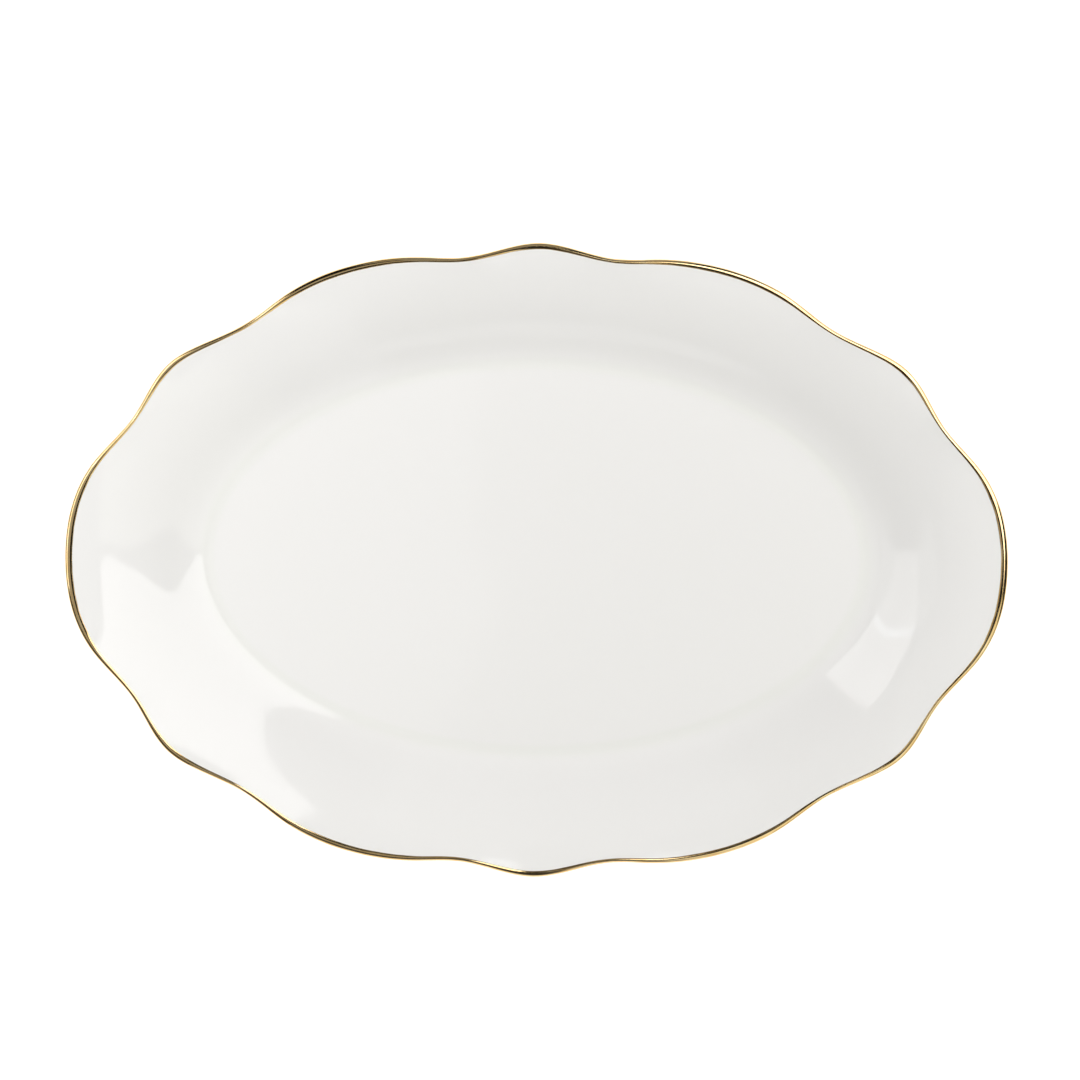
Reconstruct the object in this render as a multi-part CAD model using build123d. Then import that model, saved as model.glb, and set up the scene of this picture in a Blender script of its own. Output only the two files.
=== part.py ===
from build123d import *

import os
from math import ceil, cos, pi, radians, sin
from typing import NamedTuple

# An oval serving platter of glazed porcelain: a flat well, a cove, a flange that eases over to
# a scalloped lip, and a gold line fired on the lip. It is symmetric about both axes.
# Millimetres, +Z up. The origin is on the table, under the middle of the platter, with X along the
# platter's length. Each layer of the real article is a solid of its own, touching the next one.

# ---- Plan ----
LENGTH = 355.0  # over the two end lobes
WIDTH = 239.4  # over the two middle lobes of the long sides
WELL_LENGTH = 249.4  # flat floor, an ellipse
WELL_WIDTH = 146.6

# The rim in one quarter, from the end of the platter round to the middle of its long side. Each
# point has its angle on the base ellipse, LENGTH by WIDTH, and its reach as a share of that ellipse.
RIM_QUARTER = [
    (0.0, 1.000),  # crest of the broad end lobe
    (18.0, 0.986),  # its shoulder
    (27.0, 0.964),  # notch
    (39.0, 0.992),  # crest of the narrow corner lobe
    (49.5, 0.964),  # notch
    (58.0, 0.991),  # shoulder of the broad side lobe
    (67.0, 1.005),  # its crest
    (75.0, 0.986),  # its other shoulder
    (80.5, 0.966),  # notch
    (90.0, 1.000),  # crest of the narrow middle lobe
]

# The flange spreads towards a smooth oval, and the scallops come in late, near the rim.
OVAL = 0.98  # that oval at the rim, as a share of the base ellipse
SCALLOP_POWER = 16  # the higher, the later they come in

# ---- Layers ----
GLAZE = 0.3  # the same all over
GOLD = 0.12  # fired gold, drawn thicker than life so that it is a sound solid
GOLD_INLAND = 0.6  # how far in from the lip's edge radius the gold starts
GOLD_END = radians(-40)  # how far round the lip the gold goes, 0 being level outwards

# ---- Foot ring: distances in from the well's edge ----
FOOT_OUTER = 8.0
FOOT_INNER = 13.6
FOOT_HEIGHT = 2.4  # table to the bare underside of the body
FOOT_DRAFT = 0.55  # how far each flank tapers in
FOOT_EDGE = 0.7  # radius between a flank and the standing face

# ---- Section: distances out from the well's edge, on a spoke as long as SPOKE ----
SPOKE = 50.0  # well's edge to rim at its mean length, stretched to fit each real spoke
FLOOR_WALL = 4.7  # glazed thickness of the floor, thinning evenly to the lip
FLOOR_HEIGHT = FOOT_HEIGHT - GLAZE + FLOOR_WALL  # glazed floor of the well above the table
BEND_RADIUS = 12.0  # the tight bend at the well's edge, from level up to BEND_LEAN
BEND_LEAN = radians(14)
COVE_RADIUS = 30.0  # concave, up to COVE_LEAN
COVE_LEAN = radians(24)
RAMP_RADIUS = 70.0  # concave and slack, up to STEEPEST_LEAN
STEEPEST_LEAN = radians(31)
LIP_LEAN = radians(14)  # what is left where the convex flange meets the lip
LIP_RADIUS = 1.25  # half round edge, so the wall is twice this there

# ---- How finely the arcs of the section are divided into level curves ----
BEND_STEPS = 3
COVE_STEPS = 2
RAMP_STEPS = 2
FLANGE_STEPS = 12
FOOT_EDGE_STEPS = 3
LIP_STEP = pi / 9


class Station(NamedTuple):
    """One point of the section: how far out, how high, and how much its face leans."""

    reach: float  # out from the well's edge, negative towards the middle
    height: float
    lean: float = 0.0  # radians above level, going outwards

    def sunk(self, depth: float) -> "Station":
        """The station this deep under the face, square to it."""
        return Station(self.reach + depth * sin(self.lean), self.height - depth * cos(self.lean), self.lean)


def rim_loop() -> list[tuple[float, float]]:
    """The rim's angles in radians with their shares, all the way round and back to the first."""
    quarter = [(radians(angle), share) for angle, share in RIM_QUARTER]
    half = quarter + [(pi - angle, share) for angle, share in quarter[-2::-1]]
    return half[:-1] + [(angle + pi, share) for angle, share in half]


def half_axis(well: float, rim: float, share: float, reach: float) -> float:
    """Half an axis of the level curve at this reach, from the well's and the rim's whole axes."""
    outward = max(reach, 0.0) / SPOKE
    scalloped = outward**SCALLOP_POWER * (SCALLOP_POWER + 1 - SCALLOP_POWER * outward)
    start = well / 2 + min(reach, 0.0)
    return start + outward * (OVAL * rim / 2 - start) + scalloped * (share - OVAL) * rim / 2


def plan_point(angle: float, share: float, reach: float) -> tuple[float, float]:
    """A spoke's point in plan: on the well's ellipse moved inwards, or on the way out to the rim."""
    across = half_axis(WELL_LENGTH, LENGTH, share, reach) * cos(angle)
    return across, half_axis(WELL_WIDTH, WIDTH, share, reach) * sin(angle)


def ring(station: Station) -> Wire:
    """The closed level curve round the platter at one station."""
    loop = rim_loop()
    points = [(*plan_point(angle, share, station.reach), station.height) for angle, share in loop]
    angles = [angle for angle, _ in loop]
    half_width = half_axis(WELL_WIDTH, WIDTH, 1.0, station.reach)
    end_tangent = (0.0, half_width, 0.0)  # an ellipse's own, at the end of its long axis
    return Wire([Edge.make_spline(points, [end_tangent, end_tangent], parameters=angles, scale=False)])


def skin(stations: list[Station], ruled: bool = False) -> ShapeList[Face]:
    """The surface through the rings at these stations, in order."""
    return Shell.make_loft([ring(station) for station in stations], ruled).faces()


def flat(outer: Station, inner: Station | None = None) -> list[Face]:
    """The level face inside one ring, or between two at the same height."""
    holes = [ring(inner)] if inner else []
    return [Face(ring(outer), holes)]


def closed(faces: list[Face]) -> Solid:
    """The solid that these faces enclose."""
    solid = Solid(Shell(faces))
    return solid if solid.volume > 0 else -solid


def arc(start: Station, radius: float, end_lean: float, steps: int) -> list[Station]:
    """Stations along an arc of the section, after its start. A negative radius is convex."""
    found = []
    for step in range(1, steps + 1):
        lean = start.lean + (end_lean - start.lean) * step / steps
        reach = start.reach + radius * (sin(lean) - sin(start.lean))
        height = start.height + radius * (cos(start.lean) - cos(lean))
        found.append(Station(reach, height, lean))
    return found


def upper_face() -> list[Station]:
    """Stations of the glazed upper face, from the well's edge to the lip.

    The gold starts at the last but one.
    """
    edge = Station(0.0, FLOOR_HEIGHT)
    bend = arc(edge, BEND_RADIUS, BEND_LEAN, BEND_STEPS)
    cove = arc(bend[-1], COVE_RADIUS, COVE_LEAN, COVE_STEPS)
    ramp = arc(cove[-1], RAMP_RADIUS, STEEPEST_LEAN, RAMP_STEPS)
    flange_end = SPOKE - LIP_RADIUS - LIP_RADIUS * sin(LIP_LEAN)
    flange_radius = (flange_end - ramp[-1].reach) / (sin(LIP_LEAN) - sin(STEEPEST_LEAN))
    gold_lean = LIP_LEAN - GOLD_INLAND / flange_radius
    flange = arc(ramp[-1], flange_radius, gold_lean, FLANGE_STEPS)
    return [edge] + bend + cove + ramp + flange + arc(flange[-1], flange_radius, LIP_LEAN, 1)


def wall(station: Station, upper: list[Station]) -> float:
    """Glazed thickness under a station of the upper face."""
    share = station.reach / upper[-1].reach
    return FLOOR_WALL + (2 * LIP_RADIUS - FLOOR_WALL) * share


def lip(upper: list[Station], start: float, end: float, offset: float) -> list[Station]:
    """Stations round the lip's edge, between two turns, this far outside its glazed surface."""
    centre = upper[-1].sunk(LIP_RADIUS)
    radius = LIP_RADIUS + offset
    steps = ceil((start - end) / LIP_STEP)
    turns = [start + (end - start) * step / steps for step in range(steps + 1)]
    return [Station(centre.reach + radius * cos(turn), centre.height + radius * sin(turn)) for turn in turns]


def layer_faces(upper: list[Station], depth: float) -> tuple[list[Face], Station]:
    """Faces at a depth under the glazed surface, with the station where their base is still open."""
    lip_start = LIP_LEAN + pi / 2
    above = [station.sunk(depth) for station in upper]
    below = [station.sunk(wall(station, upper) - depth) for station in upper]
    faces = flat(above[0]) + skin(above[:-1]) + skin(above[-2:], ruled=True) + skin(below)
    faces += skin(lip(upper, lip_start, GOLD_END, -depth))
    faces += skin(lip(upper, GOLD_END, lip_start - pi, -depth))
    return faces, below[0]


def porcelain_body(upper: list[Station]) -> Solid:
    """The fired porcelain: everything under the glaze, with a level base."""
    faces, base = layer_faces(upper, GLAZE)
    return closed(faces + flat(base))


def glaze_coat(upper: list[Station]) -> Solid:
    """The glaze over the upper face, round the lip and under the flange to the foot ring."""
    outer_faces, outer_base = layer_faces(upper, 0.0)
    inner_faces, inner_base = layer_faces(upper, GLAZE)
    outer_edge = Station(-FOOT_OUTER, outer_base.height)
    inner_edge = Station(-FOOT_OUTER, inner_base.height)
    faces = outer_faces + inner_faces + flat(outer_base, outer_edge) + flat(inner_base, inner_edge)
    return closed(faces + skin([outer_edge, inner_edge], ruled=True))


def base_glaze() -> Solid:
    """The island of glaze on the underside, inside the foot ring."""
    under = Station(-FOOT_INNER, FOOT_HEIGHT - GLAZE)
    top = Station(-FOOT_INNER, FOOT_HEIGHT)
    return closed(flat(under) + flat(top) + skin([under, top], ruled=True))


def foot_flank(reach: float, taper: int) -> list[Station]:
    """Stations down one flank of the foot ring and round its edge. Taper is -1 outside, 1 inside."""
    foot_of_flank = reach + taper * FOOT_DRAFT
    stations = [Station(reach, FOOT_HEIGHT), Station(reach, FOOT_HEIGHT - GLAZE)]
    for step in range(FOOT_EDGE_STEPS + 1):
        turn = pi / 2 * step / FOOT_EDGE_STEPS
        rounded = foot_of_flank + taper * FOOT_EDGE * (1 - cos(turn))
        stations.append(Station(rounded, FOOT_EDGE * (1 - sin(turn))))
    return stations


def foot_ring() -> Solid:
    """The bare standing ring, tapered, with its two lower edges rounded."""
    outside = foot_flank(-FOOT_OUTER, -1)
    inside = foot_flank(-FOOT_INNER, 1)
    faces = skin(outside, ruled=True) + skin(inside, ruled=True)
    return closed(faces + flat(outside[0], inside[0]) + flat(outside[-1], inside[-1]))


def gold_rim_band(upper: list[Station]) -> Solid:
    """The gold line, from the end of the flange over the crest of the lip and a little under it."""
    lip_start = LIP_LEAN + pi / 2
    flange_under = upper[-2:]
    flange_over = [station.sunk(-GOLD) for station in flange_under]
    lip_under = lip(upper, lip_start, GOLD_END, 0.0)
    lip_over = lip(upper, lip_start, GOLD_END, GOLD)
    faces = skin(flange_under, ruled=True) + skin(flange_over, ruled=True) + skin(lip_under) + skin(lip_over)
    faces += skin([flange_under[0], flange_over[0]], ruled=True)
    return closed(faces + skin([lip_under[-1], lip_over[-1]], ruled=True))


def main() -> None:
    """Builds each layer and writes it to its own file."""
    upper = upper_face()
    pieces = {
        "porcelain_body": porcelain_body(upper),
        "foot_ring": foot_ring(),
        "glaze_coat": glaze_coat(upper),
        "base_glaze": base_glaze(),
        "gold_rim_band": gold_rim_band(upper),
    }
    os.makedirs("parts", exist_ok=True)
    for name, solid in pieces.items():
        export_step(solid, f"parts/{name}.step")
        print(name, "volume", round(solid.volume), "mm3")


main()
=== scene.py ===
"""An oval china serving platter: white glazed porcelain, a scalloped lip and a fired gold line."""

import logging
from dataclasses import dataclass, field
from enum import Enum
from math import ceil, cos, pi, radians, sin
from typing import Any, NamedTuple

import bpy
import numpy as np
from mathutils import Matrix, Vector


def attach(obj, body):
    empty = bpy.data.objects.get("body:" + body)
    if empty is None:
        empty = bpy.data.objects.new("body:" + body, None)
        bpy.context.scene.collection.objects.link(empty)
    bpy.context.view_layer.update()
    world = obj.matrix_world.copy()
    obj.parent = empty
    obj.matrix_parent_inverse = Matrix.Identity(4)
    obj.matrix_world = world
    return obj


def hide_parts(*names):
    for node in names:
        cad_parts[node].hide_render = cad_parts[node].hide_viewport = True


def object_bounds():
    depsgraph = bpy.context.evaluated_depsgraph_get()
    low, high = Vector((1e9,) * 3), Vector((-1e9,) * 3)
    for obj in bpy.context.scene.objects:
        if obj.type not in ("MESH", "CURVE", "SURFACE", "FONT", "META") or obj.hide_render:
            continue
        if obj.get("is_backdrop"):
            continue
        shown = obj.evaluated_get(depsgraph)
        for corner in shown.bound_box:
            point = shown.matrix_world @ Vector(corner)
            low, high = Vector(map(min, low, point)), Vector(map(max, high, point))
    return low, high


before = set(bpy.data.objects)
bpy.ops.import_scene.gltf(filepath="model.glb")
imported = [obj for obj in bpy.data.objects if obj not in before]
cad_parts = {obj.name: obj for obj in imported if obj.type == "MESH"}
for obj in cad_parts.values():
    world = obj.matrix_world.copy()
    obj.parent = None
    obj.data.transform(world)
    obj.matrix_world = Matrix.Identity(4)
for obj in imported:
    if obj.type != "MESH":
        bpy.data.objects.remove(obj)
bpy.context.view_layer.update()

LOG = logging.getLogger("platter")
MM = 0.001
CLOSED_SEAM = 5e-7  # metres; points this near are one point
MATH = "ShaderNodeMath"


def linear(colour: str) -> tuple[float, float, float, float]:
    """Turns an sRGB hex colour to linear light.

    Args:
        colour: six hex digits after a hash sign.

    Returns:
        Red, green, blue and an alpha of 1.
    """
    shares = [int(colour[at:at + 2], 16) / 255 for at in (1, 3, 5)]
    light = [s / 12.92 if s <= 0.04045 else ((s + 0.055) / 1.055) ** 2.4 for s in shares]
    return (*light, 1.0)


def add(tree: bpy.types.NodeTree, kind: str, settings: dict[str, Any] | None = None,
        inputs: dict[Any, Any] | None = None) -> bpy.types.Node:
    """Adds one node with its settings and links.

    Args:
        tree: the node tree it goes into.
        kind: the node's type name.
        settings: the node's own properties.
        inputs: for each input, by name or number, a value, another node's output, or another node
            for its first output.

    Returns:
        The new node.
    """
    made = tree.nodes.new(kind)
    for name, value in (settings or {}).items():
        setattr(made, name, value)
    for name, value in (inputs or {}).items():
        if isinstance(value, bpy.types.Node):
            value = value.outputs[0]
        if isinstance(value, bpy.types.NodeSocket):
            tree.links.new(value, made.inputs[name])
        else:
            made.inputs[name].default_value = value
    return made


class Station(NamedTuple):
    """One point of a section, in millimetres."""

    reach: float  # out from the well's edge, negative towards the middle
    height: float  # above the table
    lean: float = 0.0  # radians above level, going outwards
    sway: float = 0.0  # how much of the hand-painted edge's wander it takes

    def sunk(self, depth: float, sway: float = 0.0) -> "Station":
        """The station this deep under the face, square to it."""
        across, down = depth * sin(self.lean), depth * cos(self.lean)
        return Station(self.reach + across, self.height - down, self.lean, sway)


def arc(start: Station, radius: float, end_lean: float, steps: int) -> list[Station]:
    """Divides an arc of a section.

    Args:
        start: where the arc begins, with its lean.
        radius: in millimetres, negative for a convex arc.
        end_lean: the lean at its end, in radians.
        steps: how many parts to divide it into.

    Returns:
        The stations after the start.
    """
    found = []
    for step in range(1, steps + 1):
        lean = start.lean + (end_lean - start.lean) * step / steps
        reach = start.reach + radius * (sin(lean) - sin(start.lean))
        height = start.height + radius * (cos(start.lean) - cos(lean))
        found.append(Station(reach, height, lean))
    return found


def turns_clockwise(loop: list[Station]) -> bool:
    """Whether a section goes round clockwise, which would face its surface inwards."""
    ends = zip(loop, loop[1:] + loop[:1])
    return sum(a.reach * b.height - b.reach * a.height for a, b in ends) < 0


@dataclass
class RimPlan:
    """The scalloped rim seen from above: one smooth closed curve, the same in all four quarters."""

    length: float = 355.0  # over the two end lobes
    width: float = 239.4  # over the two middle lobes of the long sides
    spokes: int = 600
    on_knot: float = 1e-9  # radians; a spoke this near before a knot is on it
    # Each point has its angle on the base ellipse and its reach as a share of that ellipse.
    quarter: list[tuple[float, float]] = field(default_factory=lambda: [
        (0.0, 1.000),  # crest of the broad end lobe
        (18.0, 0.986),  # its shoulder
        (27.0, 0.964),  # notch
        (39.0, 0.992),  # crest of the narrow corner lobe
        (49.5, 0.964),  # notch
        (58.0, 0.991),  # shoulder of the broad side lobe
        (67.0, 1.005),  # its crest
        (75.0, 0.986),  # its other shoulder
        (80.5, 0.966),  # notch
        (90.0, 1.000),  # crest of the narrow middle lobe
    ])

    def loop(self) -> tuple[np.ndarray, np.ndarray]:
        """Carries the quarter's knots all the way round.

        Returns:
            Each knot's angle in radians, and its place in millimetres.
        """
        first = [(radians(angle), share) for angle, share in self.quarter]
        half = first + [(pi - angle, share) for angle, share in first[-2:0:-1]]
        knots = half + [(pi, first[0][1])] + [(pi + angle, share) for angle, share in half[1:]]
        angles = np.array([angle for angle, _ in knots])
        shares = np.array([share for _, share in knots])
        along = shares * np.cos(angles) * self.length / 2
        across = shares * np.sin(angles) * self.width / 2
        return angles, np.stack([along, across], 1)

    def points(self) -> np.ndarray:
        """Works out the curve through the knots, with continuous curvature.

        Returns:
            One point in millimetres for each spoke, from the end of the platter round.
        """
        angles, places = self.loop()
        gaps = np.diff(np.append(angles, 2 * pi))
        before = np.roll(gaps, 1)
        ahead = (np.roll(places, -1, 0) - places) / gaps[:, None]
        behind = np.roll(ahead, 1, 0)
        count = len(angles)
        system = np.zeros((count, count))
        rows = np.arange(count)
        system[rows, rows - 1] = gaps
        system[rows, rows] = 2 * (gaps + before)
        system[rows, (rows + 1) % count] = before
        slopes = np.linalg.solve(system, 3 * (gaps[:, None] * behind + before[:, None] * ahead))
        spoke = np.arange(self.spokes) * 2 * pi / self.spokes
        knot = np.searchsorted(angles, spoke + self.on_knot, side="right") - 1
        gap = gaps[knot][:, None]
        along = (spoke - angles[knot])[:, None] / gap
        start, end = places[knot], np.roll(places, -1, 0)[knot]
        slope_in, slope_out = slopes[knot] * gap, np.roll(slopes, -1, 0)[knot] * gap
        return (start * (1 + 2 * along) * (1 - along) ** 2 + end * along ** 2 * (3 - 2 * along)
                + slope_in * along * (1 - along) ** 2 + slope_out * along ** 2 * (along - 1))


@dataclass
class Section:
    """The platter's section on one spoke, in millimetres: well, cove, flange and lip."""

    spoke: float = 50.0  # well's edge to rim, stretched to fit each real spoke
    floor_height: float = 6.8
    half_well: float = 73.3  # the well's ellipse closes on its long axis this far in
    floor_wall: float = 4.7
    glaze: float = 0.3
    gold: float = 0.12
    gold_inland: float = 0.6  # from the lip's round edge in to the gold's inner edge
    gold_end: float = radians(-40)  # the turn round the lip at which the gold ends
    gold_edge: tuple[float, float, float] = (0.7, 0.12, 0.02)  # its first height, run and rise
    gold_edge_sway: float = 0.8
    bend_radius: float = 12.0  # the tight bend at the well's edge
    bend_lean: float = radians(14)
    bend_steps: int = 7
    cove_radius: float = 30.0
    cove_lean: float = radians(24)
    cove_steps: int = 5
    ramp_radius: float = 70.0
    steepest_lean: float = radians(31)
    ramp_steps: int = 4
    flange_steps: int = 18
    lip_lean: float = radians(14)
    lip_radius: float = 1.25
    foot_height: float = 2.4
    foot_outer: float = 8.0
    foot_inner: float = 13.6
    foot_draft: float = 0.55
    foot_edge: float = 0.7
    foot_edge_steps: int = 6
    meniscus: float = 0.25  # radius of the glaze's edge where it meets the foot
    floor_rings: tuple[float, ...] = (1.0, 0.8, 0.6, 0.4, 0.22, 0.1, 0.03)  # shares of the half axis
    underside_rings: tuple[float, ...] = (0.25, 0.5, 0.75, 0.9)  # shares of the way to the foot

    def floor(self, height: float, edge: float = 0.0) -> list[Station]:
        """Stations of a level face, from the middle out to just short of its edge."""
        return [Station(edge - (self.half_well + edge) * share, height) for share in self.floor_rings]

    def upper(self) -> list[Station]:
        """Chains the arcs of the upper face.

        Returns:
            The stations from the well's edge to the lip. The gold starts at the last but one.
        """
        edge = Station(0.0, self.floor_height)
        bend = arc(edge, self.bend_radius, self.bend_lean, self.bend_steps)
        cove = arc(bend[-1], self.cove_radius, self.cove_lean, self.cove_steps)
        ramp = arc(cove[-1], self.ramp_radius, self.steepest_lean, self.ramp_steps)
        flange_end = self.spoke - self.lip_radius * (1 + sin(self.lip_lean))
        radius = (flange_end - ramp[-1].reach) / (sin(self.lip_lean) - sin(self.steepest_lean))
        gold_lean = self.lip_lean - self.gold_inland / radius
        flange = arc(ramp[-1], radius, gold_lean, self.flange_steps)
        return [edge] + bend + cove + ramp + flange + arc(flange[-1], radius, self.lip_lean, 1)

    def lower(self, depth: float) -> list[Station]:
        """Follows the underside, which lies a tapering wall's thickness below the upper face.

        Args:
            depth: how far inside the underside, in millimetres.

        Returns:
            The stations from the lip in to the floor's edge.
        """
        upper = self.upper()
        found = []
        for station in reversed(upper):
            share = station.reach / upper[-1].reach
            wall = self.floor_wall + (2 * self.lip_radius - self.floor_wall) * share
            found.append(station.sunk(wall - depth))
        return found

    def lip(self, start: float, end: float, offset: float, step: float = pi / 18) -> list[Station]:
        """Divides the lip's round edge.

        Args:
            start: the turn it starts at, in radians, 0 being level outwards.
            end: the turn it ends at.
            offset: how far outside the glazed surface, in millimetres.
            step: the largest turn between two stations.

        Returns:
            The stations between the two, without the first.
        """
        centre = self.upper()[-1].sunk(self.lip_radius)
        radius = self.lip_radius + offset
        steps = ceil((start - end) / step)
        turns = [start + (end - start) * at / steps for at in range(1, steps + 1)]
        return [Station(centre.reach + radius * cos(turn), centre.height + radius * sin(turn))
                for turn in turns]

    def meniscus_edge(self, wall: float, side: int, height: float) -> list[Station]:
        """Divides the glaze's rounded edge where it creeps up to the foot.

        Args:
            wall: the reach of the foot's flank.
            side: which side of the flank the glaze is on, 1 outwards or -1 inwards.
            height: the height of the glaze's lower face.

        Returns:
            The stations from the lower face up to the flank.
        """
        turns = (0.0, pi / 6, pi / 3, pi / 2)
        return [Station(wall + side * self.meniscus * (1 - sin(turn)),
                        height + self.meniscus * (1 - cos(turn))) for turn in turns]

    def glaze_loop(self) -> list[Station]:
        """Draws the glaze over the upper face, round the lip and under the flange to the foot.

        Returns:
            The stations of its outside, and then of its inside on the way back.
        """
        top_turn = self.lip_lean + pi / 2
        upper = self.upper()
        outside = self.floor(self.floor_height) + upper + self.lip(top_turn, top_turn - pi, 0.0)
        outside += self.lower(0.0)[1:]
        under = outside[-1].height
        outside += [Station(-self.foot_outer * share, under) for share in self.underside_rings]
        outside += self.meniscus_edge(-self.foot_outer, 1, under)
        inside = [Station(-self.foot_outer, self.foot_height),
                  Station(-self.foot_outer / 2, self.foot_height)]
        inside += self.lower(self.glaze)[::-2]
        inside += self.lip(top_turn, top_turn - pi, -self.glaze, pi / 8)[-2::-1]
        inside += [station.sunk(self.glaze) for station in reversed(upper)][::2]
        inside += self.floor(self.floor_height - self.glaze)[::-1]
        return outside + inside

    def gold_loop(self) -> list[Station]:
        """Draws the gold line's section, with the one edge that the brush leaves free.

        Returns:
            The stations all the way round: over the lip, and back along the glaze.
        """
        top_turn = self.lip_lean + pi / 2
        edge, lip = self.upper()[-2:]
        first_height, run, rise = self.gold_edge
        over = [edge.sunk(0.0, 1.0), edge.sunk(-self.gold * first_height, 1.0)]
        over += [Station(edge.reach + run, edge.sunk(-self.gold).height + rise, edge.lean,
                         self.gold_edge_sway)]
        over += [lip.sunk(-self.gold)] + self.lip(top_turn, self.gold_end, self.gold)
        under = self.lip(top_turn, self.gold_end, 0.0)[::-1] + [lip, edge.sunk(0.0, 1.0)]
        return over + under

    def foot_loop(self) -> list[Station]:
        """The foot ring's section, all the way round: top, outer flank, standing face, inner flank."""
        outside, inside = self.flank(-self.foot_outer, -1), self.flank(-self.foot_inner, 1)
        return outside + inside[::-1] + [outside[0]]

    def flank(self, reach: float, taper: int) -> list[Station]:
        """Divides one flank of the foot ring and its rounded edge.

        Args:
            reach: where the flank meets the platter.
            taper: -1 for the outer flank, 1 for the inner one.

        Returns:
            The stations from the platter down to the standing face.
        """
        foot = reach + taper * self.foot_draft
        found = [Station(reach, self.foot_height), Station(reach, self.foot_height - self.glaze)]
        for at in range(self.foot_edge_steps + 1):
            turn = pi / 2 * at / self.foot_edge_steps
            found.append(Station(foot + taper * self.foot_edge * (1 - cos(turn)),
                                 self.foot_edge * (1 - sin(turn))))
        return found

    def island_loop(self) -> list[Station]:
        """Draws the glaze inside the foot ring.

        Returns:
            The stations of its lower face, its rounded edge and its upper face.
        """
        edge, under = -self.foot_inner, self.foot_height - self.glaze
        lower = self.floor(under, edge) + self.meniscus_edge(edge, -1, under)
        return lower + [Station(edge, self.foot_height)] + self.floor(self.foot_height, edge)[::-1]


class SizeInput(Enum):
    """The named inputs of the sweep, with the kind of socket each one is."""

    RIM = ("Rim", "NodeSocketObject")
    SPOKES = ("Spokes", "NodeSocketInt")
    STATIONS = ("Stations", "NodeSocketInt")
    WELL_LENGTH = ("Well Length", "NodeSocketFloat")
    WELL_WIDTH = ("Well Width", "NodeSocketFloat")
    OVAL_LENGTH = ("Oval Length", "NodeSocketFloat")
    OVAL_WIDTH = ("Oval Width", "NodeSocketFloat")
    LATENESS = ("Scallop Power", "NodeSocketFloat")
    SPOKE = ("Spoke Length", "NodeSocketFloat")
    WANDER = ("Edge Wander", "NodeSocketFloat")
    SEED = ("Seed", "NodeSocketFloat")
    FINISH = ("Finish", "NodeSocketMaterial")


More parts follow.
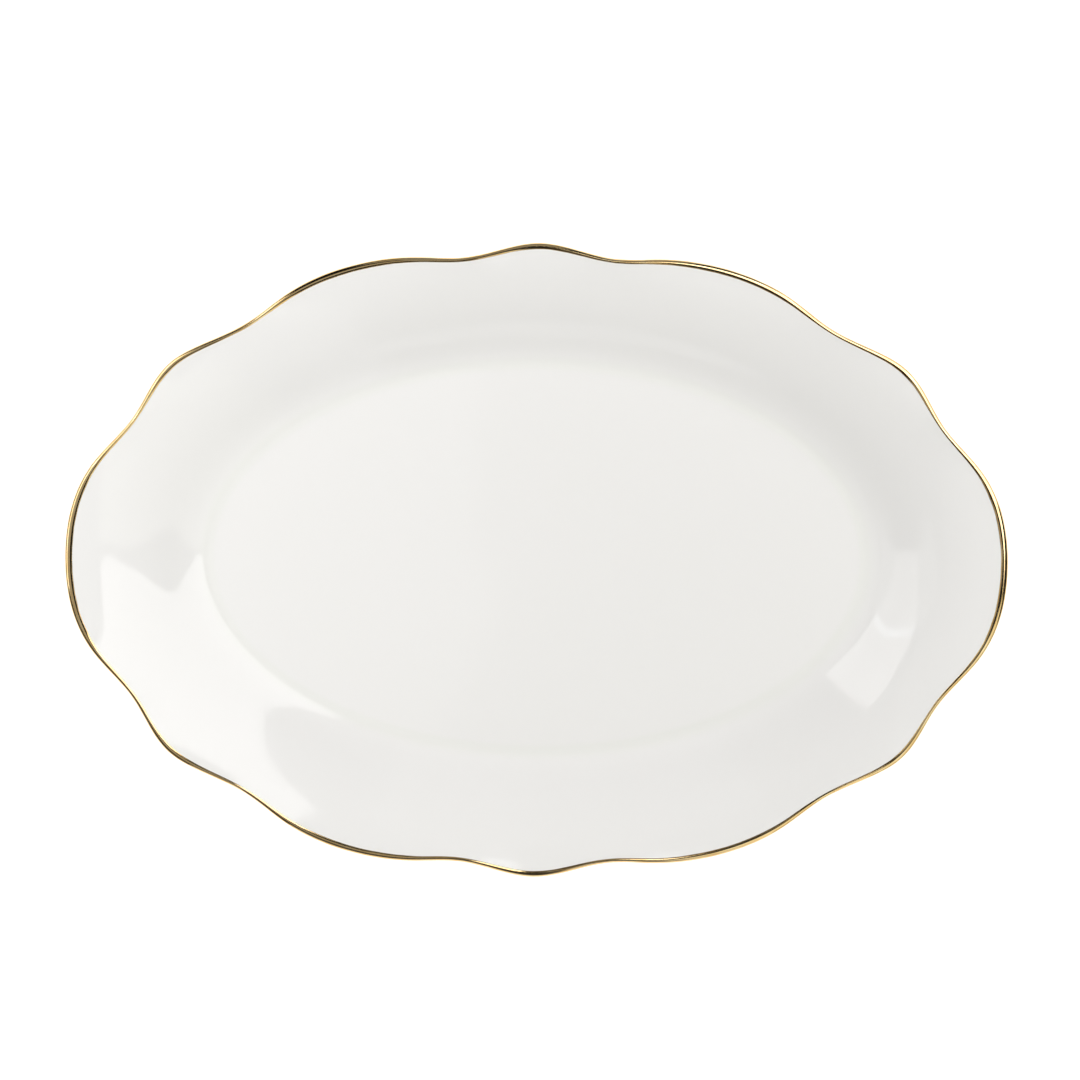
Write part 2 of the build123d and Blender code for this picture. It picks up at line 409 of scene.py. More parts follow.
@dataclass
class ScallopSweep:
    """Sweeps a section round the platter: a spoke runs from the well's ellipse to the scalloped rim.

    The same rule makes every glazed, gilded and bare surface, so that they fit each other exactly.
    """

    plan: RimPlan = field(default_factory=RimPlan)
    well_length: float = 249.4
    well_width: float = 146.6
    spoke: float = 50.0
    oval: float = 0.98  # the smooth oval that the flange spreads towards, as a share of the base ellipse
    lateness: float = 16.0  # a power: the higher, the nearer to the rim the scallops come in
    wander_scale: float = 14.0  # the higher, the shorter each wander of the painted edge
    seed: float = 7.3

    def __post_init__(self) -> None:
        """Makes the node tree and the rim's mesh once, for all the pieces."""
        self.tree = bpy.data.node_groups.new("scallop_sweep", "GeometryNodeTree")
        self.identifiers = self.sockets()
        self.nodes()
        mesh = bpy.data.meshes.new("rim_plan")
        mesh.from_pydata([(x * MM, y * MM, 0.0) for x, y in self.plan.points()], [], [])
        self.rim = bpy.data.objects.new("rim_plan", mesh)
        bpy.context.scene.collection.objects.link(self.rim)

    def sockets(self) -> dict[SizeInput, str]:
        """Returns:
            Each input's identifier.
        """
        face = self.tree.interface
        face.new_socket("Section", in_out="INPUT", socket_type="NodeSocketGeometry")
        found = {size: face.new_socket(size.value[0], in_out="INPUT", socket_type=size.value[1]).identifier
                 for size in SizeInput}
        face.new_socket("Surface", in_out="OUTPUT", socket_type="NodeSocketGeometry")
        return found

    def sample(self, geometry: bpy.types.NodeSocket, index: bpy.types.NodeSocket) -> bpy.types.Node:
        """Reads a point's place from a mesh by its number, and splits it in three.

        Args:
            geometry: the mesh to read.
            index: the point's number.

        Returns:
            The node whose outputs are the place's parts.
        """
        place = add(self.tree, "GeometryNodeInputPosition").outputs[0]
        read = add(self.tree, "GeometryNodeSampleIndex", {"data_type": "FLOAT_VECTOR", "domain": "POINT"},
                   {"Geometry": geometry, "Value": place, "Index": index})
        return add(self.tree, "ShaderNodeSeparateXYZ", None, {0: read})

    def nodes(self) -> None:
        """Builds the tree: a grid of spokes by stations, each point put on its spoke."""
        tree = self.tree
        given = tree.nodes.new("NodeGroupInput").outputs
        around = add(tree, MATH, {"operation": "ADD"}, {0: given["Spokes"], 1: 1.0})
        grid = add(tree, "GeometryNodeMeshGrid", None, {"Vertices X": around, "Vertices Y": given["Stations"]})
        # The grid numbers its points spoke by spoke. Half a point keeps the rounding clear of whole numbers.
        number = add(tree, "GeometryNodeInputIndex")
        nudged = add(tree, MATH, {"operation": "ADD"}, {0: number, 1: 0.5})
        counted = add(tree, MATH, {"operation": "DIVIDE"}, {0: nudged, 1: given["Stations"]})
        at_spoke = add(tree, MATH, {"operation": "FLOOR"}, {0: counted})
        passed = add(tree, MATH, {"operation": "MULTIPLY"}, {0: at_spoke, 1: given["Stations"]})
        at_station = add(tree, MATH, {"operation": "SUBTRACT"}, {0: number, 1: passed})
        at_rim = add(tree, MATH, {"operation": "FLOORED_MODULO"}, {0: at_spoke, 1: given["Spokes"]})
        rim_object = add(tree, "GeometryNodeObjectInfo", None, {"Object": given["Rim"]})
        rim = self.sample(rim_object.outputs["Geometry"], at_rim.outputs[0])
        section = self.sample(given["Section"], at_station.outputs[0])

        share_round = add(tree, MATH, {"operation": "DIVIDE"}, {0: at_rim, 1: given["Spokes"]})
        turn = add(tree, MATH, {"operation": "MULTIPLY"}, {0: share_round, 1: 2 * pi})
        across = add(tree, MATH, {"operation": "COSINE"}, {0: turn})
        along = add(tree, MATH, {"operation": "SINE"}, {0: turn})
        # A painted edge wanders a little. The noise is read on a circle, so that it meets itself.
        circle = add(tree, "ShaderNodeCombineXYZ", None, {0: across, 1: along, 2: given["Seed"]})
        noise = add(tree, "ShaderNodeTexNoise", None,
                    {"Vector": circle, "Scale": self.wander_scale, "Detail": 3.0})
        centred = add(tree, MATH, {"operation": "SUBTRACT"}, {0: noise, 1: 0.5})
        wander = add(tree, MATH, {"operation": "MULTIPLY"}, {0: centred, 1: given["Edge Wander"]})
        reach = add(tree, MATH, {"operation": "MULTIPLY_ADD"},
                    {0: wander, 1: section.outputs[1], 2: section.outputs[0]})

        # Inside the well's edge a point only moves its ellipse in. Outside it, the share of the spoke
        # to the power n, times n + 1 less n times the share, brings the scallops in without a crease.
        inward = add(tree, MATH, {"operation": "MINIMUM"}, {0: reach, 1: 0.0})
        past_edge = add(tree, MATH, {"operation": "MAXIMUM"}, {0: reach, 1: 0.0})
        outward = add(tree, MATH, {"operation": "DIVIDE"}, {0: past_edge, 1: given["Spoke Length"]})
        power = given["Scallop Power"]
        above = add(tree, MATH, {"operation": "ADD"}, {0: power, 1: 1.0})
        below = add(tree, MATH, {"operation": "MULTIPLY"}, {0: power, 1: outward})
        levelled = add(tree, MATH, {"operation": "SUBTRACT"}, {0: above, 1: below})
        raised = add(tree, MATH, {"operation": "POWER"}, {0: outward, 1: power})
        scalloped = add(tree, MATH, {"operation": "MULTIPLY"}, {0: raised, 1: levelled})
        places = []
        for size, share, rim_part in (("Length", across, 0), ("Width", along, 1)):
            half_well = add(tree, MATH, {"operation": "DIVIDE"}, {0: given["Well " + size], 1: 2.0})
            half_axis = add(tree, MATH, {"operation": "ADD"}, {0: half_well, 1: inward})
            well = add(tree, MATH, {"operation": "MULTIPLY"}, {0: half_axis, 1: share})
            half_oval = add(tree, MATH, {"operation": "DIVIDE"}, {0: given["Oval " + size], 1: 2.0})
            oval = add(tree, MATH, {"operation": "MULTIPLY"}, {0: half_oval, 1: share})
            spread = add(tree, MATH, {"operation": "SUBTRACT"}, {0: oval, 1: well})
            smooth = add(tree, MATH, {"operation": "MULTIPLY_ADD"}, {0: spread, 1: outward, 2: well})
            lobe = add(tree, MATH, {"operation": "SUBTRACT"}, {0: rim.outputs[rim_part], 1: oval})
            places.append(add(tree, MATH, {"operation": "MULTIPLY_ADD"},
                              {0: lobe, 1: scalloped, 2: smooth}))
        place = add(tree, "ShaderNodeCombineXYZ", None, {0: places[0], 1: places[1], 2: section.outputs[2]})

        mapped = add(tree, "GeometryNodeStoreNamedAttribute", {"data_type": "FLOAT2", "domain": "CORNER"},
                     {"Geometry": grid.outputs["Mesh"], "Name": "UVMap", "Value": grid.outputs["UV Map"]})
        reached = add(tree, "GeometryNodeStoreNamedAttribute", {"data_type": "FLOAT", "domain": "POINT"},
                      {"Geometry": mapped, "Name": "reach", "Value": reach})
        put = add(tree, "GeometryNodeSetPosition", None, {"Geometry": reached, "Position": place})
        closed = add(tree, "GeometryNodeMergeByDistance", None, {"Geometry": put, "Distance": CLOSED_SEAM})
        shaded = add(tree, "GeometryNodeSetShadeSmooth", None, {"Geometry": closed})
        real = add(tree, "GeometryNodeRealizeInstances", None, {"Geometry": shaded})
        dressed = add(tree, "GeometryNodeSetMaterial", None, {"Geometry": real, "Material": given["Finish"]})
        add(tree, "NodeGroupOutput", None, {0: dressed})

    def piece(self, name: str, loop: list[Station], finish: bpy.types.Material,
              wander: float = 0.0) -> bpy.types.Object:
        """Makes one piece of the platter as a plain closed mesh.

        Args:
            name: the piece's name.
            loop: its section, in order.
            finish: its material.
            wander: how far its free edge strays, in millimetres from end to end.

        Returns:
            The finished piece, at the origin.
        """
        if turns_clockwise(loop):
            loop = loop[::-1]
        section = bpy.data.meshes.new(name + "_section")
        section.from_pydata([(s.reach * MM, s.sway, s.height * MM) for s in loop], [], [])
        source = bpy.data.objects.new(name + "_section", section)
        bpy.context.scene.collection.objects.link(source)
        sweep = source.modifiers.new("sweep", "NODES")
        sweep.node_group = self.tree
        sizes = {
            SizeInput.RIM: self.rim,
            SizeInput.SPOKES: self.plan.spokes,
            SizeInput.STATIONS: len(loop),
            SizeInput.WELL_LENGTH: self.well_length * MM,
            SizeInput.WELL_WIDTH: self.well_width * MM,
            SizeInput.OVAL_LENGTH: self.oval * self.plan.length * MM,
            SizeInput.OVAL_WIDTH: self.oval * self.plan.width * MM,
            SizeInput.LATENESS: self.lateness,
            SizeInput.SPOKE: self.spoke * MM,
            SizeInput.WANDER: wander * MM,
            SizeInput.SEED: self.seed,
            SizeInput.FINISH: finish,
        }
        for size, value in sizes.items():
            sweep[self.identifiers[size]] = value
        ready = source.evaluated_get(bpy.context.evaluated_depsgraph_get())
        mesh = bpy.data.meshes.new_from_object(ready)
        mesh.name = name
        mesh.materials.clear()
        mesh.materials.append(finish)
        mesh.polygons.foreach_set("material_index", [0] * len(mesh.polygons))
        source.modifiers.remove(sweep)
        bpy.data.objects.remove(source)
        made = bpy.data.objects.new(name, mesh)
        bpy.context.scene.collection.objects.link(made)
        return made

    def clear(self) -> None:
        """Removes the rim's own mesh, once every piece is made."""
        bpy.data.objects.remove(self.rim)


def new_material(name: str) -> tuple[bpy.types.Material, bpy.types.NodeTree, bpy.types.Node]:
    """Makes a material with only its shader and output in it.

    Args:
        name: the material's name.

    Returns:
        The material, its tree and its shader.
    """
    made = bpy.data.materials.new(name)
    made.use_nodes = True
    tree = made.node_tree
    tree.nodes.clear()
    shader = add(tree, "ShaderNodeBsdfPrincipled")
    add(tree, "ShaderNodeOutputMaterial", None, {"Surface": shader.outputs[0]})
    return made, tree, shader


@dataclass(frozen=True)
class GlazedPorcelain:
    """Hard porcelain under a clear feldspar glaze, fired at 1400 degrees.

    The glaze is glass: mirror-like, with edges of reflections that waver over its slow ripple. The
    body under it is a slightly warm white. In the bend at the well's edge it is a little cooler and darker:
    partly glaze that pools there, partly painted shade of the bend.
    """

    name: str = "glazed_porcelain"
    body: str = "#ECEBEA"
    # The bend's cooler, darker tint: partly pooled glaze, partly painted shade. The clouds use it too.
    pooled_and_shaded: str = "#EAEAE7"
    speck: str = "#8C877C"
    roughness: float = 0.06
    ior: float = 1.5
    ripple_mm: float = 11.0  # from crest to crest
    ripple_depth_mm: float = 0.012
    pool_shade_slope_mm: tuple[float, float] = (6.0, 1.0)  # the pooling and painted shade fade in between, down the slope
    pool_shade_floor_mm: tuple[float, float] = (-2.5, 0.5)  # and between these, from the floor side
    cloud_mm: float = 35.0  # soft clouds in the body's white
    cloud_share: float = 0.35
    haze_mm: float = 6.0
    speck_spacing_mm: float = 46.0  # one pinhole of iron in a cell this wide, in some cells
    speck_radius_mm: float = 0.55  # real ones are 0.2 to 0.4, drawn larger to show
    speck_rarity: float = 0.72  # the share of cells left clear
    speck_strength: float = 0.7

    def material(self) -> bpy.types.Material:
        """Builds the finish's node tree.

        Returns:
            The material.
        """
        made, tree, shader = new_material(self.name)
        place = add(tree, "ShaderNodeTexCoord").outputs["Object"]
        reach = add(tree, "ShaderNodeAttribute", {"attribute_name": "reach"}).outputs["Fac"]
        # Glaze gathers in the tight bend at the well's edge and a few millimetres up the slope. The darker,
        # cooler tint there is partly that pooled glaze and partly painted shade of the bend.
        slope = add(tree, "ShaderNodeMapRange", {"interpolation_type": "SMOOTHSTEP"},
                    {"Value": reach, "From Min": self.pool_shade_slope_mm[0] * MM,
                     "From Max": self.pool_shade_slope_mm[1] * MM, "To Min": 0.0, "To Max": 1.0})
        floor = add(tree, "ShaderNodeMapRange", {"interpolation_type": "SMOOTHSTEP"},
                    {"Value": reach, "From Min": self.pool_shade_floor_mm[0] * MM,
                     "From Max": self.pool_shade_floor_mm[1] * MM, "To Min": 0.0, "To Max": 1.0})
        # Mask of the bend's tint: pooled glaze and painted shade.
        pool_and_shade = add(tree, MATH, {"operation": "MULTIPLY"}, {0: slope, 1: floor})
        cloud = add(tree, "ShaderNodeTexNoise", None,
                    {"Vector": place, "Scale": 1 / (self.cloud_mm * MM), "Detail": 4.0, "Roughness": 0.6})
        clouded = add(tree, MATH, {"operation": "MULTIPLY_ADD"}, {0: cloud, 1: self.cloud_share, 2: pool_and_shade})
        body = add(tree, "ShaderNodeMix", {"data_type": "RGBA"},
                   {"Factor": clouded, 6: linear(self.body), 7: linear(self.pooled_and_shaded)})
        cells = add(tree, "ShaderNodeTexVoronoi", {"feature": "F1"},
                    {"Vector": place, "Scale": 1 / (self.speck_spacing_mm * MM), "Randomness": 1.0})
        near = add(tree, "ShaderNodeMapRange", None,
                   {"Value": cells.outputs["Distance"], "To Min": 1.0, "To Max": 0.0,
                    "From Min": 0.4 * self.speck_radius_mm / self.speck_spacing_mm,
                    "From Max": 1.3 * self.speck_radius_mm / self.speck_spacing_mm})
        chosen = add(tree, "ShaderNodeSeparateColor", None, {0: cells.outputs["Color"]})
        strength = add(tree, "ShaderNodeMapRange", None,
                       {"Value": chosen, "From Min": self.speck_rarity, "From Max": 1.0,
                        "To Min": 0.0, "To Max": self.speck_strength})
        speck = add(tree, MATH, {"operation": "MULTIPLY"}, {0: near, 1: strength})
        colour = add(tree, "ShaderNodeMix", {"data_type": "RGBA"},
                     {"Factor": speck, 6: body.outputs[2], 7: linear(self.speck)})
        ripple = add(tree, "ShaderNodeTexNoise", None,
                     {"Vector": place, "Scale": 1 / (self.ripple_mm * MM), "Detail": 2.0, "Roughness": 0.4})
        bump = add(tree, "ShaderNodeBump", None,
                   {"Height": ripple, "Distance": self.ripple_depth_mm * MM, "Strength": 1.0})
        # Fine wear and dust in the glaze: patches a few millimetres wide are a touch less sharp.
        haze = add(tree, "ShaderNodeTexNoise", None,
                   {"Vector": place, "Scale": 1 / (self.haze_mm * MM), "Detail": 3.0})
        rough = add(tree, "ShaderNodeMapRange", None,
                    {"Value": haze, "From Min": 0.3, "From Max": 0.7,
                     "To Min": self.roughness * 0.8, "To Max": self.roughness * 1.3})
        tree.links.new(colour.outputs[2], shader.inputs["Base Color"])
        tree.links.new(rough.outputs[0], shader.inputs["Roughness"])
        tree.links.new(bump.outputs[0], shader.inputs["Normal"])
        shader.inputs["IOR"].default_value = self.ior
        return made


@dataclass(frozen=True)
class FiredGold:
    """Bright gold painted on the glaze with a liner brush as the platter turns, then fired.

    It is a mirror of pale warm gold on a surface as smooth as the glaze, with faint streaks along
    the line where the brush left it thicker and thinner.
    """

    name: str = "fired_bright_gold"
    thick: str = "#FBE2B2"
    thin: str = "#EDC98C"
    roughness: float = 0.08
    streak_rounds: float = 60.0  # streaks end to end round the rim
    streak_lines: float = 26.0  # drawn about 0.1 mm wide, several times a real bristle's, so they show
    streak_depth_mm: float = 0.004
    patch_mm: float = 9.0
    cover_range: tuple[float, float] = (0.15, 0.38)  # the pattern's values for thin and for thick gold

    def material(self) -> bpy.types.Material:
        """Builds the finish's node tree.

        Returns:
            The material.
        """
        made, tree, shader = new_material(self.name)
        surface = add(tree, "ShaderNodeUVMap", {"uv_map": "UVMap"}).outputs[0]
        stretch = add(tree, "ShaderNodeMapping", None,
                      {"Vector": surface, "Scale": (self.streak_rounds, self.streak_lines, 1.0)})
        streak = add(tree, "ShaderNodeTexNoise", None,
                     {"Vector": stretch, "Scale": 1.0, "Detail": 3.0, "Roughness": 0.55})
        place = add(tree, "ShaderNodeTexCoord").outputs["Object"]
        patch = add(tree, "ShaderNodeTexNoise", None,
                    {"Vector": place, "Scale": 1 / (self.patch_mm * MM), "Detail": 2.0})
        both = add(tree, MATH, {"operation": "MULTIPLY"}, {0: streak, 1: patch})
        cover = add(tree, "ShaderNodeMapRange", None,
                    {"Value": both, "From Min": self.cover_range[0], "From Max": self.cover_range[1],
                     "To Min": 0.0, "To Max": 1.0})
        colour = add(tree, "ShaderNodeMix", {"data_type": "RGBA"},
                     {"Factor": cover, 6: linear(self.thin), 7: linear(self.thick)})
        rough = add(tree, "ShaderNodeMapRange", None,
                    {"Value": streak, "From Min": 0.3, "From Max": 0.7,
                     "To Min": self.roughness * 0.75, "To Max": self.roughness * 1.4})
        bump = add(tree, "ShaderNodeBump", None,
                   {"Height": streak, "Distance": self.streak_depth_mm * MM, "Strength": 0.6})
        tree.links.new(colour.outputs[2], shader.inputs["Base Color"])
        tree.links.new(rough.outputs[0], shader.inputs["Roughness"])
        tree.links.new(bump.outputs[0], shader.inputs["Normal"])
        shader.inputs["Metallic"].default_value = 1.0
        return made


@dataclass(frozen=True)
class BarePorcelain:
    """Unglazed fired porcelain: a dry, matt, faintly warm white with a very fine grain."""

    name: str = "bare_porcelain"
    clean: str = "#E4DFD5"
    marked: str = "#C9C1B2"
    grain_mm: float = 0.5  # real grain is under 0.1, drawn coarser to show
    grain_depth_mm: float = 0.02
    grain_share: float = 0.25
    rub_mm: float = 18.0
    rub_strength: float = 0.8
    roughness: float = 0.72
    roughness_spread: float = 0.1

    def material(self) -> bpy.types.Material:
        """Builds the finish's node tree.

        Returns:
            The material.
        """
        made, tree, shader = new_material(self.name)
        place = add(tree, "ShaderNodeTexCoord").outputs["Object"]
        grain = add(tree, "ShaderNodeTexNoise", None,
                    {"Vector": place, "Scale": 1 / (self.grain_mm * MM), "Detail": 3.0, "Roughness": 0.7})
        # The kiln shelf and shelves at home leave soft grey rubs, some centimetres long.
        rub = add(tree, "ShaderNodeTexNoise", None,
                  {"Vector": place, "Scale": 1 / (self.rub_mm * MM), "Detail": 5.0, "Roughness": 0.65})
        rubbed = add(tree, "ShaderNodeMapRange", None,
                     {"Value": rub, "From Min": 0.5, "From Max": 0.78,
                      "To Min": 0.0, "To Max": self.rub_strength})
        speckled = add(tree, MATH, {"operation": "MULTIPLY_ADD"}, {0: grain, 1: self.grain_share, 2: rubbed})
        colour = add(tree, "ShaderNodeMix", {"data_type": "RGBA"},
                     {"Factor": speckled, 6: linear(self.clean), 7: linear(self.marked)})
        rough = add(tree, "ShaderNodeMapRange", None,
                    {"Value": grain, "From Min": 0.3, "From Max": 0.7,
                     "To Min": self.roughness - self.roughness_spread,
                     "To Max": self.roughness + self.roughness_spread})
        bump = add(tree, "ShaderNodeBump", None,
                   {"Height": grain, "Distance": self.grain_depth_mm * MM, "Strength": 0.7})
        tree.links.new(colour.outputs[2], shader.inputs["Base Color"])
        tree.links.new(rough.outputs[0], shader.inputs["Roughness"])
        tree.links.new(bump.outputs[0], shader.inputs["Normal"])
        return made


@dataclass
class Platter:
    """The platter itself: glaze, gold line, foot ring, base glaze and the porcelain inside."""

    section: Section = field(default_factory=Section)
    sweep: ScallopSweep = field(default_factory=ScallopSweep)
    gold_wander: float = 0.35  # the painted edge strays this much in all

    def place(self, piece: bpy.types.Object, node: str, slot: str) -> None:
        """Puts a piece in place of a CAD node.

        Args:
            piece: the finished mesh.
            node: the CAD node it stands for.
            slot: the record's material slot; not used.
        """
        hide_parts(node)
        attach(piece, "root")
        LOG.info("%s: %d faces, in place of %s", piece.name, len(piece.data.polygons), node)

    def build(self) -> None:
        """Builds and dresses every piece."""
        glazed = GlazedPorcelain().material()
        bare = BarePorcelain().material()
        gilt = FiredGold().material()
        section, make = self.section, self.sweep.piece
        self.place(make("glazed_surface", section.glaze_loop(), glazed), "glaze_coat", "clear_glaze")
        self.place(make("base_glaze_island", section.island_loop(), glazed), "base_glaze", "clear_glaze")
        self.place(make("foot_ring_bare", section.foot_loop(), bare), "foot_ring", "bare_bisque")
        gold = make("gold_line", section.gold_loop(), gilt, self.gold_wander)
        self.place(gold, "gold_rim_band", "fired_gold")
        self.sweep.clear()
        inner = BarePorcelain(name="porcelain_under_glaze", clean="#EDEBE5", marked="#E3E0D8",
                              roughness=0.6).material()
        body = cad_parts["porcelain_body"]
        body.data.materials.clear()
        body.data.materials.append(inner)
        LOG.info("porcelain_body keeps its own mesh, under the glaze all over")


class Facing(Enum):
    """Which way a panel lies: the order its two drawn coordinates and its depth are put in."""

    DOWN = (0, 1, 2)  # drawn in x and y, at a height z
    FRONT = (0, 2, 1)  # drawn in x and z, at a depth y


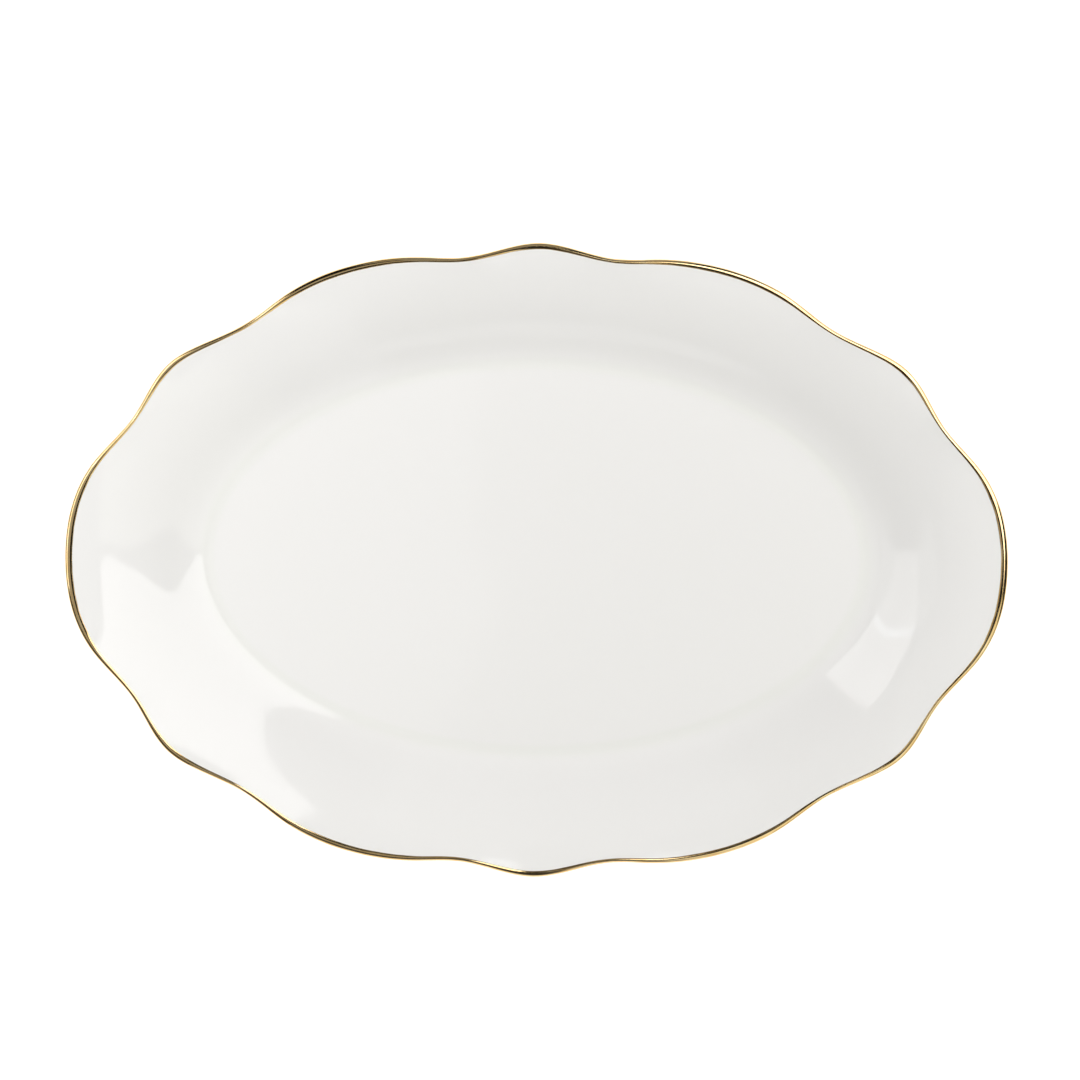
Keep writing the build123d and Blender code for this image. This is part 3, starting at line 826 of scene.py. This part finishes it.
@dataclass
class Card:
    """A flat glowing panel round the platter. The camera never sees it, only its light and reflection.

    A flag is a panel dimmer than the ones round it or behind it, so it shapes their reflections.
    """

    name: str
    outline: list[tuple[float, float]]  # millimetres
    offset: float  # where its plane is, in millimetres
    strength: float  # next to nothing for a black flag
    facing: Facing = Facing.DOWN
    colour: str = "#FFFFFF"
    reflected: bool = True  # False keeps it out of every reflection, and it casts no shadow

    def build(self) -> None:
        """Makes the panel and its finish."""
        mesh = bpy.data.meshes.new(self.name)
        corners = [(first, second, self.offset) for first, second in self.outline]
        places = [[corner[part] * MM for part in self.facing.value] for corner in corners]
        mesh.from_pydata(places, [], [tuple(range(len(corners)))])
        card = bpy.data.objects.new(self.name, mesh)
        bpy.context.scene.collection.objects.link(card)
        made = bpy.data.materials.new(self.name)
        made.use_nodes = True
        made.node_tree.nodes.clear()
        glow = add(made.node_tree, "ShaderNodeEmission", None,
                   {"Color": linear(self.colour), "Strength": self.strength})
        add(made.node_tree, "ShaderNodeOutputMaterial", None, {"Surface": glow.outputs[0]})
        mesh.materials.append(made)
        card.visible_camera = False
        card.visible_glossy = self.reflected
        card.visible_shadow = self.reflected
        card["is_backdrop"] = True


@dataclass
class Studio:
    """A glowing white table under panels and one soft light, with the camera almost straight above.

    The surround is dark, so that what the gold and the glaze mirror is mostly the panels.
    """

    camera_distance: float = 1176.2
    camera_tilt: float = radians(4.1)  # away from straight down
    camera_roll: float = radians(0.582)
    aim: tuple[float, float] = (1.23, 8.35)  # from the platter's middle
    rim_drop: float = 1.37  # the middle of the lip is this far under the highest point
    lens: float = 104.13
    sensor: float = 36.0
    clip: tuple[float, float] = (0.01, 30.0)  # metres
    table_half: float = 6000.0
    table_white: str = "#DCDCDB"
    table_grain: str = "#D6D6D5"
    table_grain_size: float = 2.0
    table_glow: float = 0.55
    surround: float = 0.06
    surround_colour: str = "#FFFCF0"
    panels: float = 900.0  # the height of the bright panels over the table
    flags: float = 905.0  # just behind them, so a panel hides a flag where they cross
    ceiling: float = 906.0  # behind both
    fill_size: float = 3000.0
    fill_height: float = 880.0
    fill_power: float = 3.45  # watts
    fill_colour: str = "#FFFFF9"

    def camera(self) -> None:
        """Makes the camera and points it at the rim's level."""
        low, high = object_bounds()
        middle = (low + high) / 2
        target = Vector((middle.x + self.aim[0] * MM, middle.y + self.aim[1] * MM,
                         high.z - self.rim_drop * MM))
        back = Vector((0.0, sin(self.camera_tilt), cos(self.camera_tilt)))
        right = Vector((1.0, 0.0, 0.0))
        turned_right = right * cos(self.camera_roll) + back.cross(right) * sin(self.camera_roll)
        up = back.cross(turned_right)
        data = bpy.data.cameras.new("camera")
        data.lens = self.lens
        data.sensor_width = self.sensor
        data.clip_start, data.clip_end = self.clip
        made = bpy.data.objects.new("camera", data)
        made.matrix_world = Matrix((
            (turned_right.x, up.x, back.x, target.x + back.x * self.camera_distance * MM),
            (turned_right.y, up.y, back.y, target.y + back.y * self.camera_distance * MM),
            (turned_right.z, up.z, back.z, target.z + back.z * self.camera_distance * MM),
            (0.0, 0.0, 0.0, 1.0),
        ))
        bpy.context.scene.collection.objects.link(made)
        bpy.context.scene.camera = made

    def table(self) -> None:
        """Lays the table: matt white acrylic lit from below, so that shadows on it are faint."""
        half = self.table_half * MM
        mesh = bpy.data.meshes.new("table")
        mesh.from_pydata([(-half, -half, 0), (half, -half, 0), (half, half, 0), (-half, half, 0)], [],
                         [(0, 1, 2, 3)])
        table = bpy.data.objects.new("table", mesh)
        bpy.context.scene.collection.objects.link(table)
        made, tree, shader = new_material("lit_acrylic")
        place = add(tree, "ShaderNodeTexCoord").outputs["Object"]
        grain = add(tree, "ShaderNodeTexNoise", None,
                    {"Vector": place, "Scale": 1 / (self.table_grain_size * MM), "Detail": 2.0})
        colour = add(tree, "ShaderNodeMix", {"data_type": "RGBA"},
                     {"Factor": grain, 6: linear(self.table_white), 7: linear(self.table_grain)})
        tree.links.new(colour.outputs[2], shader.inputs["Base Color"])
        shader.inputs["Roughness"].default_value = 0.9
        shader.inputs["Emission Color"].default_value = linear("#FFFFFF")
        shader.inputs["Emission Strength"].default_value = self.table_glow
        mesh.materials.append(made)
        table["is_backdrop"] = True

    def lights(self) -> None:
        """Sets the dark surround, the panels and flags round the camera, and the fill light."""
        world = bpy.data.worlds.new("surround")
        world.use_nodes = True
        world.node_tree.nodes.clear()
        glow = add(world.node_tree, "ShaderNodeBackground", None,
                   {"Color": linear(self.surround_colour), "Strength": self.surround})
        add(world.node_tree, "ShaderNodeOutputWorld", None, {"Surface": glow.outputs[0]})
        bpy.context.scene.world = world
        for card in (
            Card("key_panel", [(245, -62), (215, 0), (150, 50), (75, 75), (42, 90), (40, 183), (67, 283),
                               (117, 400), (183, 500), (727, 1167), (1400, 1992), (2400, 1500), (1900, 500),
                               (1150, 217), (1000, 183), (900, 117), (800, 50), (667, -17), (500, -60),
                               (367, -87)], self.panels, 2.5, colour="#FFFEFE"),
            Card("front_panel", [(225, -112), (300, -110), (500, -123), (700, -150), (800, -200), (900, -267),
                                 (1033, -350), (1900, -700), (1900, -2200), (1100, -2300), (700, -1500),
                                 (500, -1033), (100, -430), (85, -215), (150, -170)], self.panels, 0.98,
                 colour="#FEFFF3"),
            Card("strip_upper", [(-440, 527), (-500, 467), (-600, 417), (-627, 350), (-690, 300),
                                 (-1000, 540), (-1900, 1010), (-1900, 2100), (-1500, 1680), (-867, 993)],
                 self.panels, 2.2, colour="#FFFDFC"),
            Card("strip_core", [(-700, 262), (-690, 300), (-1000, 540), (-1900, 1010), (-1900, 890),
                                (-1083, 495), (-833, 345)], self.panels, 3.7, colour="#F7FBFF"),
            Card("strip_lower", [(-700, 262), (-833, 345), (-1083, 495), (-1900, 890), (-1900, -400),
                                 (-940, -200), (-900, 0), (-833, 133)], self.panels, 1.8, colour="#FFFDFC"),
            Card("gap_flag", [(222, -55), (1150, 400), (1900, 700), (1900, -900), (1033, -500),
                              (222, -130)], self.flags, 0.01),
            Card("left_flag", [(-700, 270), (-1000, 100), (-1000, -205), (-830, -250), (-740, -400),
                               (-690, -370), (-667, -167), (-617, 33), (-640, 240)], self.flags, 0.8),
            Card("overhead_flag", [(-42, 150), (-42, -50), (-50, -63), (-32, -75), (-25, -102), (-40, -138),
                                   (-65, -178), (-75, -260), (100, -260), (222, -130), (222, -55), (215, 0),
                                   (150, 60), (45, 100)], self.flags, 0.01),
            Card("back_flag_left", [(-67, 117), (-440, 470), (-867, 940), (-1900, 2000), (-600, 2300),
                                    (-400, 1233), (-300, 833), (-167, 400)], self.flags, 0.01),
            Card("back_flag_right", [(80, 200), (183, 450), (727, 1100), (1500, 2050), (500, 2300),
                                     (300, 1233), (167, 833), (80, 400)], self.flags, 0.01),
            Card("front_flag", [(60, -330), (110, -400), (520, -1033), (720, -1500), (1100, -2250),
                                (500, -2300), (250, -1200), (60, -500)], self.flags, 0.67),
            Card("ceiling_panel", [(-42, 150), (-42, -50), (-50, -63), (-32, -75), (-25, -102), (-40, -138),
                                   (-65, -178), (-75, -260), (-300, -400), (-560, -300), (-600, 250),
                                   (-450, 400), (-250, 300)], self.ceiling, 0.4),
            Card("back_panel", [(-60, 300), (-150, 500), (-300, 833), (-400, 1233), (-600, 2300),
                                (500, 2300), (300, 1233), (167, 833), (80, 400)], self.ceiling, 0.3),
            Card("near_panel", [(-450, -250), (-150, -250), (-150, 250), (-450, 250)], 500, 2.5,
                 reflected=False),
            Card("low_front_flag", [(-700, 0), (650, 0), (650, 590), (-700, 590)], -1100, 0.9,
                 facing=Facing.FRONT),
        ):
            card.build()
        self.fill()

    def fill(self) -> None:
        """Hangs a wide soft light over the table, which the glaze and the gold don't mirror."""
        data = bpy.data.lights.new("fill_light", "AREA")
        data.shape = "SQUARE"
        data.size = self.fill_size * MM
        data.energy = self.fill_power
        data.color = linear(self.fill_colour)[:3]
        light = bpy.data.objects.new("fill_light", data)
        light.location = (0.0, 0.0, self.fill_height * MM)
        light.visible_camera = False
        light.visible_glossy = False
        bpy.context.scene.collection.objects.link(light)
        light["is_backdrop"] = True

    def build(self) -> None:
        """Sets the whole stage."""
        self.camera()
        self.table()
        self.lights()
        bpy.context.scene.view_settings.view_transform = "Standard"


def main() -> None:
    """Builds the platter and its stage."""
    logging.basicConfig(level=logging.INFO, format="%(name)s: %(message)s")
    Platter().build()
    Studio().build()


if __name__ == "__main__":
    main()
